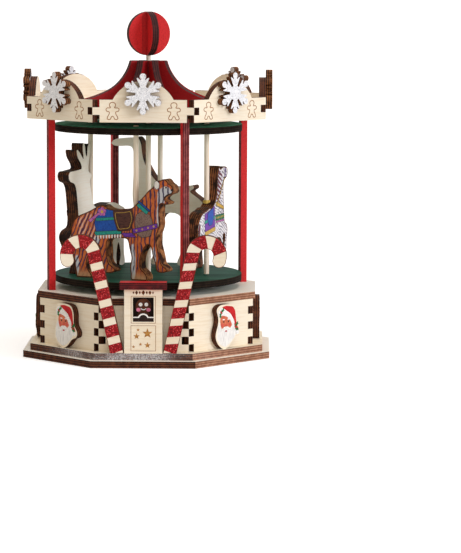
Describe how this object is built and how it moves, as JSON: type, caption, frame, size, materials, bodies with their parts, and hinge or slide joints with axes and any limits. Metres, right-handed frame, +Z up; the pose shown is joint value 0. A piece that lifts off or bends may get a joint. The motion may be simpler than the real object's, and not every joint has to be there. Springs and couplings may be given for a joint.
{
  "type": "carousel music box",
  "caption": "Plywood carousel on an eight-sided music box base, with flat animals on a turning platform under a flared roof.",
  "frame": {"origin": "middle of the underside of the bottom plate", "axes": "+Z up along the carousel's shaft, front with the ticket booth towards -Y, +X to the viewer's right"},
  "size_m": [0.1108, 0.1108, 0.1524],
  "materials": {
    "maple_ply": "bare plywood with burnt cut edges",
    "red_stain": "red stain with burnt cut edges",
    "green_stain": "green stain with burnt cut edges",
    "dowel_wood": "bare dowel",
    "white_glitter": "white glitter over plywood",
    "candy_glitter": "red glitter stripes on plywood",
    "printed_ply": "printed face on plywood",
    "cast_frame": "as cast",
    "brass": "turned",
    "steel": "ground"
  },
  "bodies": {
    "base": {"ball_disc_cross": "red_stain", "ball_disc_front": "red_stain", "base_wall_1": "maple_ply", "base_wall_2": "maple_ply", "base_wall_3": "maple_ply", "base_wall_4": "maple_ply", "base_wall_5": "maple_ply", "base_wall_6": "maple_ply", "base_wall_7": "maple_ply", "base_wall_8": "maple_ply", "booth_cap": "red_stain", "booth_clerk": "printed_ply", "booth_counter": "maple_ply", "booth_front": "maple_ply", "bottom_plate": "maple_ply", "candy_cane_left": "candy_glitter", "candy_cane_right": "candy_glitter", "corner_post_1": "red_stain", "corner_post_2": "red_stain", "corner_post_3": "red_stain", "corner_post_4": "red_stain", "crown_panel_1": "maple_ply", "crown_panel_2": "maple_ply", "crown_panel_3": "maple_ply", "crown_panel_4": "maple_ply", "crown_panel_5": "maple_ply", "crown_panel_6": "maple_ply", "crown_panel_7": "maple_ply", "crown_panel_8": "maple_ply", "crown_plate": "maple_ply", "crown_snowflakes": "white_glitter", "deck_plate": "maple_ply", "finial_stem": "dowel_wood", "movement_frame": "cast_frame", "movement_screws": "steel", "roof_fins": "red_stain", "roof_hub": "red_stain", "step_plate": "maple_ply", "tuned_comb": "steel", "winter_cap_heads": "printed_ply"},
    "carousel": {"platform_disc": "green_stain", "canopy_disc": "green_stain", "platform_spacer": "dowel_wood", "main_shaft": "dowel_wood", "spring_barrel": "brass", "barrel_cover": "brass", "mainspring": "steel", "giraffe_pole": "dowel_wood", "horse_pole": "dowel_wood", "reindeer_pole": "dowel_wood", "tiger_pole": "dowel_wood", "tiger": "printed_ply", "horse": "printed_ply", "giraffe": "printed_ply", "reindeer": "printed_ply"},
    "tune_cylinder": {"pin_cylinder": "brass"},
    "governor": {"governor_fly": "steel"},
    "winder": {"winding_arbor": "steel", "winding_key": "brass"}
  },
  "joints": [
    {"name": "carousel_spin", "type": "hinge", "parent": "base", "child": "carousel", "pos_m": [0, 0, 0.03], "axis": [0, 0, 1], "continuous": true},
    {"name": "cylinder_spin", "type": "hinge", "parent": "base", "child": "tune_cylinder", "pos_m": [0.022, 0, 0.0175], "axis": [1, 0, 0], "continuous": true},
    {"name": "fly_spin", "type": "hinge", "parent": "base", "child": "governor", "pos_m": [0.034, 0.00767, 0.01392], "axis": [1, 0, 0], "continuous": true},
    {"name": "key_wind", "type": "hinge", "parent": "base", "child": "winder", "pos_m": [0, 0, 0.004], "axis": [0, 0, -1], "range_deg": [0, 1080]}
  ],
  "couplings": [
    {"joint": "cylinder_spin", "follows": "carousel_spin", "ratio": 4},
    {"joint": "fly_spin", "follows": "carousel_spin", "ratio": -12}
  ]
}
